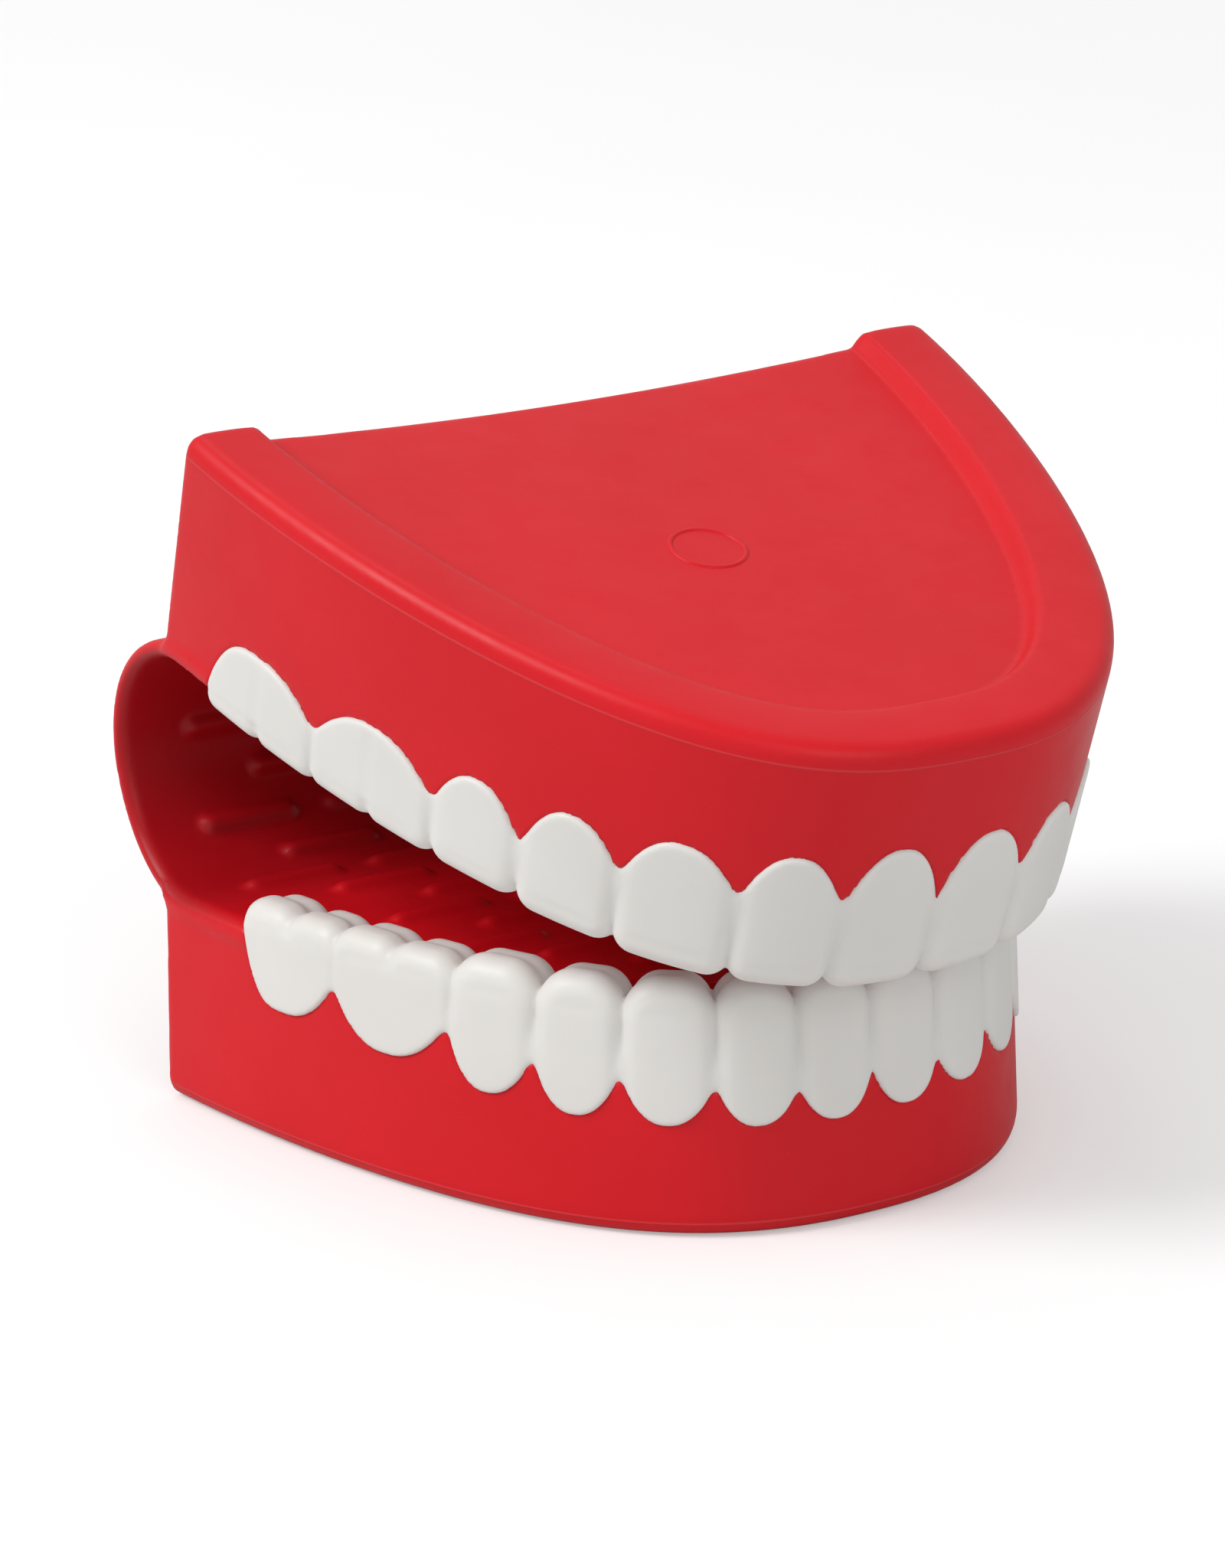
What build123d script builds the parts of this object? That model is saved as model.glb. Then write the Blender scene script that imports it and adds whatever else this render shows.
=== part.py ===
from build123d import *
import math
import os

# A grip shaped like an open pair of jaws: two hollow jaws with rows of teeth,
# joined at the rear by a curved hinge roll.
# Millimetres and degrees. x runs across the grip, the incisors point to -y, z is up
# from the ground. While building, y = 0 is the rear edge of the base; at the end the
# middle of the whole depth is moved to y = 0.

# Lower jaw
BASE_HALF_W = 50.0        # at the ground
BASE_DEPTH = 79.1         # rear edge to incisors at the ground
BASE_CURVE = (2.097, 2.29, -0.187, 0.056)   # depth and width exponents, two fullness terms
BASE_DRAFT = 1.2          # slimmer by this much per side at the mouth floor
BASE_T = 2.6              # ground plate
WALL = 2.8                # skin thickness of both jaws
FLOOR_T = 2.2             # mouth floor thickness
REAR_LEAN = 1.6           # the foot of the rear edge stands this far forward

# Hinge roll; angles run from +y towards +z
ARC_Y = -5.2
ARC_Z = 40.3
ARC_R_IN = 14.8
ARC_R_OUT = 17.0
ROLL_HALF_W = 48.6
ARC_LOW = -68.0           # ends of the free part of the roll
ARC_UP = 80.0
ROLL_EDGE_R = 0.8
FLOOR_TOP = ARC_Z - ARC_R_IN   # the mouth floor runs into the inside of the roll

# Upper jaw. The jaw frame has its origin at the rear edge on the parting line.
TILT = 15.2               # the jaw leans down towards the incisors
PAL_TILT = 12.2           # lean of the palate
UP_Y = -11.8              # jaw frame origin
UP_Z = 81.8
UP_HALF_W = 51.2          # at the parting line
UP_DEPTH = 86.9
UP_CURVE = (1.565, 2.568, -0.013, 0.021)
UP_SKIN_H = 27.0          # height over which the flare and the rear bow are measured
UP_FLARE = 1.2            # slimmer by this much per side at the foot of the skin
PLATE_TOP = 0.9           # finger plate, upper surface above the parting line
PLATE_T = 3.0
PLATE_BOTTOM = PLATE_TOP - PLATE_T
RIM_TOP = 3.0             # raised rim above the parting line
RIM_W = 9.5
RIM_SKIN = 2.6
REAR_BOW = 1.5            # the foot of the rear edge stands this far back
PAL_Z = -26.0             # level where the upper crowns leave the skin, jaw frame

# Teeth
TOOTH_T = 7.6             # crown thickness, front to back
TOOTH_PROUD = 0.5         # crown stands this far out of the gum skin
BULGE_SHARE = 0.6         # share of the curve's bulge a crown follows
CROWN_OVERLAP = 0.9       # extra width, so that neighbours merge
CROWN_SIDE_R = 2.6
CROWN_TIP_R = 1.9
LOW_ROOT_DEPTH = 1.4      # how far the crowns are sunk in the mouth floor
UP_ROOT_DEPTH = 1.0       # and in the palate
LOW_TOOTH_TOP = 30.8      # biting level
UP_TOOTH_TOP = -28.0      # biting level, jaw frame
TONGUE_DEPTH = 14.0       # block that shapes a tongue, across the skin
TONGUE_GAP = 0.4          # tongue narrower than its crown by this much
TONGUE_SETBACK = 1.0
TONGUE_PROUD = 0.35       # tongue stands out of the skin
RAIL_INSET = 0.7          # rail that ties the crowns together, outer face
RAIL_INNER = TOOTH_T - 1.8

# Curve angle of each gap between crowns on one side, rear to centre line,
# and the level where each crown's tongue ends on the gum
LOW_GAPS = [11.0, 22.7, 36.8, 47.5, 58.4, 70.5, 81.2, 90.0]
LOW_CUPS = [16.7, 16.0, 14.6, 13.9, 13.6, 13.4, 13.1]
UP_GAPS = [9.6, 24.4, 37.8, 46.9, 57.0, 69.4, 80.9, 90.0]
UP_CUPS = [-17.4, -16.2, -15.3, -14.1, -12.7, -11.5, -10.6]

# Ribs
RIB_L, RIB_W, RIB_H = 12.0, 2.2, 1.0
RIB_SINK = 0.4            # buried part
RIB_EDGE_R = 0.6
RIB_STEP = 17.0           # spacing in x; every other row is moved by half of it
RIB_PITCH = 6.6           # spacing of the rows in y
RIB_INSET = TOOTH_T + 1.5
RIB_REAR_GAP = 4.0        # first row, forward of the roll axis
ROLL_RIB_HALF_W = 42.0
ROLL_RIB_ANGLES = (-48.0, -21.0, 6.0, 33.0, 60.0)

CUTTER_W = 300.0


# ---------------------------------------------------------------- solids
def solids_of(shape):
    if isinstance(shape, Solid):
        return [shape]
    if isinstance(shape, (list, tuple)):
        return [solid for item in shape for solid in solids_of(item)]
    return list(shape.solids())


def largest(shape):
    return sorted(solids_of(shape), key=lambda solid: -solid.volume)[0]


def cut(body, tools):
    """All solids of body less all solids of tools."""
    tools = solids_of(tools)
    if not tools:
        return solids_of(body)
    return [piece for solid in solids_of(body) for piece in solids_of(solid.cut(*tools))]


def overlap(first, second):
    pieces = []
    for one in solids_of(first):
        for other in solids_of(second):
            shared = one.intersect(other)
            if shared is not None:
                pieces += solids_of(shared)
    return pieces


def join(first, second):
    start, *rest = solids_of(first) + solids_of(second)
    joined = largest(start.fuse(*rest))
    return joined if joined.is_valid else largest(joined.fix())


def soft_fillet(part, edges, radius):
    """Fillet at the full radius or, failing that, a smaller one or none."""
    for share in (1.0, 0.7, 0.45):
        # The kernel may refuse a radius that is too large for a short edge.
        try:
            rounded = fillet(edges, radius * share)
            if rounded.is_valid and rounded.volume > 0.8 * part.volume:
                return rounded
        except Exception:
            pass
    return part


def block(y0, y1, z0, z1):
    """Cutting block, wider than the grip."""
    return Pos(0, (y0 + y1) / 2, (z0 + z1) / 2) * Box(CUTTER_W, y1 - y0, z1 - z0)


def cylinder_x(radius, length):
    return Rot(0, 90, 0) * Cylinder(radius, length)


# ---------------------------------------------------------------- jaw plans
def curve(half_w, depth, shape, angle):
    """Plan curve: angle 0 is the +x rear corner, 90 the incisors, 180 the -x corner."""
    depth_exp, width_exp, fullness, skew = shape
    cosine, sine = math.cos(math.radians(angle)), math.sin(math.radians(angle))
    u = sine ** (2 / depth_exp) if sine > 1e-9 else 0.0
    swell = 1 + fullness * u * (1 - u) + skew * u * (1 - u) * (1 - 2 * u)
    x = 0.0
    if abs(cosine) > 1e-9:
        x = math.copysign(half_w * abs(cosine) ** (2 / width_exp), cosine) * swell
    return x, -depth * u


def inset_point(half_w, depth, shape, angle, inset):
    """Point of the plan curve moved inwards; the rear corners move only in x."""
    x, y = curve(half_w, depth, shape, angle)
    if angle < 0.4:
        return x - inset, y
    if angle > 179.6:
        return x + inset, y
    x0, y0 = curve(half_w, depth, shape, angle - 0.3)
    x1, y1 = curve(half_w, depth, shape, angle + 0.3)
    run_x, run_y = x1 - x0, y1 - y0
    run = math.hypot(run_x, run_y)
    return x + inset * run_y / run, y - inset * run_x / run


def arch(plan, inset, steps=44):
    """Points from the +x rear corner round the incisors to the -x rear corner."""
    return [inset_point(*plan, 180.0 * i / steps, inset) for i in range(steps + 1)]


def lower_plan(z):
    slimming = BASE_DRAFT * z / FLOOR_TOP
    return BASE_HALF_W - slimming, BASE_DEPTH - slimming, BASE_CURVE


def upper_plan(z):
    slimming = UP_FLARE * max(0.0, -z) / UP_SKIN_H
    return UP_HALF_W - slimming, UP_DEPTH - slimming, UP_CURVE


def section(plan, z, inset, back):
    """Closed wire at height z; its straight rear edge is at y = back if back > 0."""
    points = [Vector(x, y, z) for x, y in arch(plan(z), inset)]
    edges = [Edge.make_spline(points, tangents=[Vector(0, -1, 0), Vector(0, 1, 0)])]
    corners = [points[-1], points[0]]
    if back > 0:
        corners[1:1] = [Vector(points[-1].X, back, z), Vector(points[0].X, back, z)]
    edges += [Edge.make_line(a, b) for a, b in zip(corners, corners[1:])]
    return Wire(edges)


def stack(plan, rows, back=0.0):
    """Ruled solid through plan sections given as (height, inset)."""
    return Solid.make_loft([section(plan, z, inset, back) for z, inset in rows], True)


def slab(plan, z0, z1, inset=0.0, back=0.0):
    return stack(plan, [(z0, inset), (z1, inset)], back)


# ---------------------------------------------------------------- upper jaw frames
# Upper sections are drawn in the jaw frame. The solid is put together in the palate
# frame, with its origin on the roll axis and y along the palate, then leaned into place.
PAL_LEAN = TILT - PAL_TILT            # lean of the palate inside the jaw frame
tilt_cos, tilt_sin = math.cos(math.radians(TILT)), math.sin(math.radians(TILT))
# the roll axis in the jaw frame
AXIS_Y = (ARC_Y - UP_Y) * tilt_cos + (ARC_Z - UP_Z) * tilt_sin
AXIS_Z = -(ARC_Y - UP_Y) * tilt_sin + (ARC_Z - UP_Z) * tilt_cos


def jaw_to_palate(shape):
    return Rot(PAL_LEAN, 0, 0) * Pos(0, -AXIS_Y, -AXIS_Z) * shape


def palate_to_grip(shape):
    return Pos(0, ARC_Y, ARC_Z) * Rot(PAL_TILT, 0, 0) * shape


def palate_level(y):
    """Mouth side of the palate, as a height in the jaw frame."""
    lean = math.radians(PAL_LEAN)
    return AXIS_Z + ARC_R_IN / math.cos(lean) - (y - AXIS_Y) * math.tan(lean)


# ---------------------------------------------------------------- teeth
def crown(width, height, upper):
    """Block rounded at its corners and round its biting end."""
    solid = Box(width, TOOTH_T, height)
    solid = soft_fillet(solid, solid.edges().filter_by(Axis.Z), CROWN_SIDE_R)
    biting_face = solid.faces().sort_by(Axis.Z)[0 if upper else -1]
    return largest(soft_fillet(solid, biting_face.edges(), CROWN_TIP_R))


def tongue(width, height, upper):
    """Block with a round end away from the biting level."""
    solid = Box(width, TONGUE_DEPTH, height)
    edges = solid.edges().filter_by(Axis.Y).sort_by(Axis.Z)
    edges = edges[-2:] if upper else edges[:2]
    return largest(soft_fillet(solid, edges, min(width * 0.42, height * 0.8, 5.0)))


def crowns_and_tongues(plan, root, tip, gaps, cups, upper):
    """Crowns and tongue blocks of one row, each made once and placed on both sides."""
    sign = -1.0 if upper else 1.0
    crowns, tongues = [], []
    for start, end, cup in zip(gaps, gaps[1:], cups):
        x0, y0 = curve(*plan(root), start)
        x1, y1 = curve(*plan(root), end)
        chord_x, chord_y = (x0 + x1) / 2, (y0 + y1) / 2
        width = math.hypot(x1 - x0, y1 - y0)
        turn = math.degrees(math.atan2(y1 - y0, x1 - x0))
        out_x, out_y = -(y1 - y0) / width, (x1 - x0) / width
        mid_x, mid_y = curve(*plan(root), (start + end) / 2)
        bulge = (mid_x - chord_x) * out_x + (mid_y - chord_y) * out_y
        crown_out = max(bulge, 0.0) * BULGE_SHARE + TOOTH_PROUD - TOOTH_T / 2

        if upper:
            height = palate_level(chord_y) + UP_ROOT_DEPTH - tip
        else:
            height = tip - root + LOW_ROOT_DEPTH
        tongue_h = abs(root - cup) + 1.0
        for pieces, solid, out, z in (
            (crowns, crown(width + CROWN_OVERLAP, height, upper),
             crown_out, tip - sign * height / 2),
            (tongues, tongue(width - TONGUE_GAP, tongue_h, upper),
             -TONGUE_SETBACK, cup + sign * tongue_h / 2),
        ):
            x, y = chord_x + out_x * out, chord_y + out_y * out
            for side in (1, -1):
                pieces.append(Pos(side * x, y, z) * Rot(0, 0, side * turn) * solid)
    return crowns, tongues


def tooth_row(plan, root, tip, gaps, cups, upper):
    crowns, tongues = crowns_and_tongues(plan, root, tip, gaps, cups, upper)

    # Tongues: the blocks trimmed to a ring that follows the skin
    if upper:
        z0, z1 = root - 0.7, max(cups) + 2
    else:
        z0, z1 = min(cups) - 2, root + 0.7
    ring = cut(slab(plan, z0, z1, -TONGUE_PROUD),
               slab(plan, z0 - 1, z1 + 1, WALL + 0.5, back=6.0))
    plugs = overlap(ring, tongues)

    # Rail through all crowns, ending inside the rearmost ones
    z0, z1 = (root - 0.8, root + 1.0) if upper else (root - 1.0, root + 2.0)
    rail = cut(slab(plan, z0, z1, RAIL_INSET),
               slab(plan, z0 - 1, z1 + 1, RAIL_INNER, back=6.0))
    rail_end = curve(*plan(root), gaps[0])[1] - 1.6
    rail = overlap(rail, block(rail_end - 200, rail_end, root - 30, root + 30))
    return join(join(crowns, rail), plugs)


# ---------------------------------------------------------------- ribs
def make_rib():
    """Slot-shaped bar standing on z = 0, with its foot buried."""
    bar = extrude(SlotOverall(RIB_L, RIB_W), RIB_H + RIB_SINK)
    bar = soft_fillet(bar, bar.faces().sort_by(Axis.Z)[-1].edges(), RIB_EDGE_R)
    return largest(Pos(0, 0, -RIB_SINK) * bar)


RIB = make_rib()


def rib_places(row, half_w):
    """x of each rib in a row that stays within half_w of the centre line."""
    x = 0.0 if row % 2 == 0 else RIB_STEP / 2
    places = []
    while x + RIB_L / 2 < half_w:
        places += [x, -x] if x > 0 else [x]
        x += RIB_STEP
    return places


def half_width(points, y):
    """Half width at y of an arch given by its points."""
    half = points[:len(points) // 2 + 1]
    for (x0, y0), (x1, y1) in zip(half, half[1:]):
        if y1 <= y <= y0:
            return x0 + (y - y0) / (y1 - y0) * (x1 - x0)
    return 0.0


def mouth_ribs(outline, z, y_first, y_last, outline_shift=0.0, rib=RIB):
    """Rows of ribs at height z; outline_shift takes their y to the outline's frame."""
    ribs = []
    y, row = y_first, 0
    while y > y_last:
        for x in rib_places(row, half_width(outline, y + outline_shift)):
            ribs.append(Pos(x, y, z) * rib)
        y -= RIB_PITCH
        row += 1
    return ribs


def roll_ribs():
    ribs = []
    for row, angle in enumerate(ROLL_RIB_ANGLES):
        y = ARC_Y + ARC_R_IN * math.cos(math.radians(angle))
        z = ARC_Z + ARC_R_IN * math.sin(math.radians(angle))
        for x in rib_places(row, ROLL_RIB_HALF_W):
            ribs.append(Pos(x, y, z) * Rot(angle + 90, 0, 0) * RIB)
    return ribs


# ---------------------------------------------------------------- hinge roll
def roll_band(start, end, axis_y=ARC_Y, axis_z=ARC_Z):
    """Piece of the roll between two angles."""
    def at(radius, angle):
        cosine, sine = math.cos(math.radians(angle)), math.sin(math.radians(angle))
        return Vector(-ROLL_HALF_W, axis_y + radius * cosine, axis_z + radius * sine)

    middle = (start + end) / 2
    outer = ThreePointArc(*[at(ARC_R_OUT, angle) for angle in (start, middle, end)])
    inner = ThreePointArc(*[at(ARC_R_IN, angle) for angle in (end, middle, start)])
    profile = Wire([
        outer.edge(),
        Edge.make_line(at(ARC_R_OUT, end), at(ARC_R_IN, end)),
        inner.edge(),
        Edge.make_line(at(ARC_R_IN, start), at(ARC_R_OUT, start)),
    ])
    return extrude(Face(profile), amount=2 * ROLL_HALF_W, dir=(1, 0, 0))


def make_roll():
    roll = roll_band(ARC_LOW, ARC_UP)
    arcs = [edge for edge in roll.edges() if edge.geom_type == GeomType.CIRCLE]
    return join(largest(soft_fillet(roll, arcs, ROLL_EDGE_R)), roll_ribs())


# ---------------------------------------------------------------- jaw shells
def make_lower_shell(teeth):
    top = FLOOR_TOP
    shell = stack(lower_plan, [(0.0, 1.0), (0.35, 0.35), (1.1, 0.0),
                               (top - 1.5, 0.0), (top - 0.5, 0.4), (top, 1.4)])
    shell = cut(shell, slab(lower_plan, BASE_T, top - FLOOR_T, WALL, back=12.0))

    # Behind the roll axis, open the shell outside the roll and clear the roll's inside
    behind_axis = block(ARC_Y, ARC_Y + 40, ARC_Z - 40, ARC_Z + 40)
    at_axis = Pos(0, ARC_Y, ARC_Z)
    rear = overlap(slab(lower_plan, BASE_T + 0.5, ARC_Z, WALL + 0.2, back=13.0), behind_axis)
    shell = cut(shell, cut(rear, at_axis * cylinder_x(ARC_R_OUT, 160)))
    shell = cut(shell, overlap(at_axis * cylinder_x(ARC_R_IN, 160), behind_axis))

    # Lean the rear edge, then add the start of the roll
    lean = math.degrees(math.atan2(REAR_LEAN, FLOOR_TOP))
    shell = cut(shell, Pos(0, -REAR_LEAN, 0) * Rot(-lean, 0, 0) * block(0, 40, -30, 50))
    shell = join(shell, roll_band(-90.0, ARC_LOW))

    shell = largest(cut(shell, teeth))
    outline = arch(lower_plan(FLOOR_TOP), RIB_INSET)
    return join(shell, mouth_ribs(outline, FLOOR_TOP, ARC_Y - RIB_REAR_GAP, -BASE_DEPTH + 16))


def make_upper_shell(teeth):
    """Upper shell in the palate frame; teeth are in that frame too."""
    shell = jaw_to_palate(stack(upper_plan, [
        (-40.0, 0.0), (0.0, 0.0), (RIM_TOP - 1.3, 0.0), (RIM_TOP - 0.4, 0.35), (RIM_TOP, 1.3)]))
    shell = cut(shell, block(-180, 60, ARC_R_IN - 100, ARC_R_IN))

    # Hollow between the palate and the finger plate
    hollow = jaw_to_palate(slab(upper_plan, -44.0, PLATE_BOTTOM, WALL, back=30.0))
    shell = cut(shell, cut(hollow, block(-190, 70, ARC_R_OUT - 100, ARC_R_OUT)))

    # Recess above the finger plate, inside the rim
    shell = cut(shell, jaw_to_palate(stack(upper_plan, [
        (PLATE_TOP, RIM_W + 1.0), (RIM_TOP - 0.3, RIM_W - 0.6), (RIM_TOP + 2, RIM_W - 2.0)],
        back=12.0)))

    # Hollow under the rim
    under_rim = cut(
        slab(upper_plan, PLATE_BOTTOM - 1, RIM_TOP - RIM_SKIN, WALL + 0.3, back=13.0),
        slab(upper_plan, PLATE_BOTTOM - 2, RIM_TOP + 2, RIM_W - 1.6, back=14.0))
    shell = cut(shell, [jaw_to_palate(piece) for piece in under_rim])

    # Lean the rear edge
    bow = math.degrees(math.atan2(REAR_BOW, UP_SKIN_H))
    shell = largest(cut(shell, jaw_to_palate(Rot(bow, 0, 0) * block(0, 40, -60, 60))))

    # Clear the roll behind its axis, then add its end
    shell = largest(cut(shell, teeth))
    shell = cut(shell, overlap(cylinder_x(ARC_R_OUT, 240), block(0, 60, -150, 150)))
    shell = join(largest(shell), roll_band(ARC_UP - PAL_TILT, 90.0, axis_y=0.0, axis_z=0.0))

    ribs = mouth_ribs(arch(upper_plan(PAL_Z), RIB_INSET), ARC_R_IN, -RIB_REAR_GAP,
                      -UP_DEPTH + 20, outline_shift=AXIS_Y, rib=Rot(180, 0, 0) * RIB)
    return join(shell, ribs)


# ---------------------------------------------------------------- assembly
lower_teeth = tooth_row(lower_plan, FLOOR_TOP, LOW_TOOTH_TOP, LOW_GAPS, LOW_CUPS, upper=False)
upper_teeth = jaw_to_palate(
    tooth_row(upper_plan, PAL_Z, UP_TOOTH_TOP, UP_GAPS, UP_CUPS, upper=True))

nodes = {
    "lower_jaw_shell": make_lower_shell(lower_teeth),
    "upper_jaw_shell": palate_to_grip(make_upper_shell(upper_teeth)),
    "hinge_roll": make_roll(),
    "lower_teeth": lower_teeth,
    "upper_teeth": palate_to_grip(upper_teeth),
}

boxes = [solid.bounding_box() for solid in nodes.values()]
middle_y = (min(box.min.Y for box in boxes) + max(box.max.Y for box in boxes)) / 2

os.makedirs("parts", exist_ok=True)
for name, solid in nodes.items():
    export_step(Pos(0, -middle_y, 0) * solid, f"parts/{name}.step")
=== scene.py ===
# A pair of silicone jaws: a flat-bottomed red lower jaw and a tilted red upper jaw,
# each with a white row of teeth, joined at the rear by a C-shaped web whose bend is
# the hinge roll. x runs across, +y to the rear and +z up. The upper jaw slopes down
# to the front, where the two rows nearly meet.
#
# Shapes are signed distance fields (negative inside) in millimetres, meshed by
# surface nets. Two frames are used:
#   working frame: y = 0 at the rear edge of the base, z = 0 at its underside
#   jaw frame (yj, zj): the upper jaw laid level, its teeth pointing to -zj

import bpy
import bmesh
import math
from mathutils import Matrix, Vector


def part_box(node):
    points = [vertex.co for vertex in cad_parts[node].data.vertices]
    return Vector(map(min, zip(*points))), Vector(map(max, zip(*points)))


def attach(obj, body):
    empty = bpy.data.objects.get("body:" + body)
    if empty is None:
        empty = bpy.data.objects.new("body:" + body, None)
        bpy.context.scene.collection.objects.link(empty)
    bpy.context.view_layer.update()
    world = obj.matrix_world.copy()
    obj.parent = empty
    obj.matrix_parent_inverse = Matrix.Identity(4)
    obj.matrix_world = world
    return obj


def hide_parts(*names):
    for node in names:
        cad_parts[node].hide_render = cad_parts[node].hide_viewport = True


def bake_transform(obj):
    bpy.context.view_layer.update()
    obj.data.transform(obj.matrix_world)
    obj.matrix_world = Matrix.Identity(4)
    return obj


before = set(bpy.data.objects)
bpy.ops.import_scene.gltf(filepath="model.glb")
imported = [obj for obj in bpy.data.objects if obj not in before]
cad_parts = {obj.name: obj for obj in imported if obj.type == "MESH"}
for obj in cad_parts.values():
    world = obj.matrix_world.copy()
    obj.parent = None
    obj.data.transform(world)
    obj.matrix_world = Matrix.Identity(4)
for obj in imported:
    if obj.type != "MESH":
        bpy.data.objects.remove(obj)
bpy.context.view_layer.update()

from types import SimpleNamespace

import numpy as np
from mathutils import Vector


MM = 0.001

# Walls and plates
WALL = 2.8
BASE_T = 2.6                        # lower ground plate
RIM_TOP, PLATE_TOP, PLATE_T = 3.0, 0.9, 3.0   # top of the upper jaw, jaw frame
LEAN = 1.2                          # how far the walls lean in over their height
UP_HEIGHT = 27.0                    # height of the upper wall

# Web: mouth floor, roll and palate along one C-shaped mid line
ARC_Y, ARC_Z, ARC_R = -5.2, 40.3, 15.9
WEB = 1.1                           # half its thickness
FLOOR = ARC_Z - ARC_R + WEB
CUT_LOW, CUT_UP = -68.0, 80.0       # degrees on the arc where the roll meets the jaws

# Placing of the upper jaw and the palate
TILT, PALATE_TILT = 15.2, 12.2
UP_Y, UP_Z = -11.8, 81.8
JAW_COS, JAW_SIN = math.cos(math.radians(TILT)), math.sin(math.radians(TILT))
PAL_COS, PAL_SIN = math.cos(math.radians(PALATE_TILT)), math.sin(math.radians(PALATE_TILT))

# From the working frame to the shared frame
SHELL_LOW, SHELL_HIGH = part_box("lower_jaw_shell")
SHIFT_Y = SHELL_HIGH[1] * 1000.0 - (ARC_Y + (ARC_R + WEB) * math.cos(math.radians(CUT_LOW)))
SHIFT_Z = SHELL_LOW[2] * 1000.0

# Mesh cell sizes
RED_CELL = 0.55
WHITE_CELL = 0.37


def smooth_min(a, b, blend):
    h = np.maximum(blend - np.abs(a - b), 0.0) / blend
    return np.minimum(a, b) - h * h * blend * 0.25


def smooth_max(a, b, blend):
    return -smooth_min(-a, -b, blend)


def join(total, part, blend):
    """Smooth union with a running total that starts as None."""
    return part if total is None else smooth_min(total, part, blend)


def ease(t):
    t = np.clip(t, 0.0, 1.0)
    return t * t * (3 - 2 * t)


def to_jaw(y, z):
    dy, dz = y - UP_Y, z - UP_Z
    return dy * JAW_COS + dz * JAW_SIN, -dy * JAW_SIN + dz * JAW_COS


def from_jaw(y, z):
    return UP_Y + y * JAW_COS - z * JAW_SIN, UP_Z + y * JAW_SIN + z * JAW_COS


def to_palate(y, z):
    """Frame about the arc centre with its y axis along the palate."""
    dy, dz = y - ARC_Y, z - ARC_Z
    return dy * PAL_COS + dz * PAL_SIN, -dy * PAL_SIN + dz * PAL_COS


ARC_YJ, ARC_ZJ = to_jaw(ARC_Y, ARC_Z)
PALATE_IN_JAW = math.radians(TILT - PALATE_TILT)


def palate_z(yj):
    """Mouth side of the palate in the jaw frame."""
    return (ARC_ZJ + (ARC_R - WEB) / math.cos(PALATE_IN_JAW)
            - (yj - ARC_YJ) * math.tan(PALATE_IN_JAW))


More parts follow.
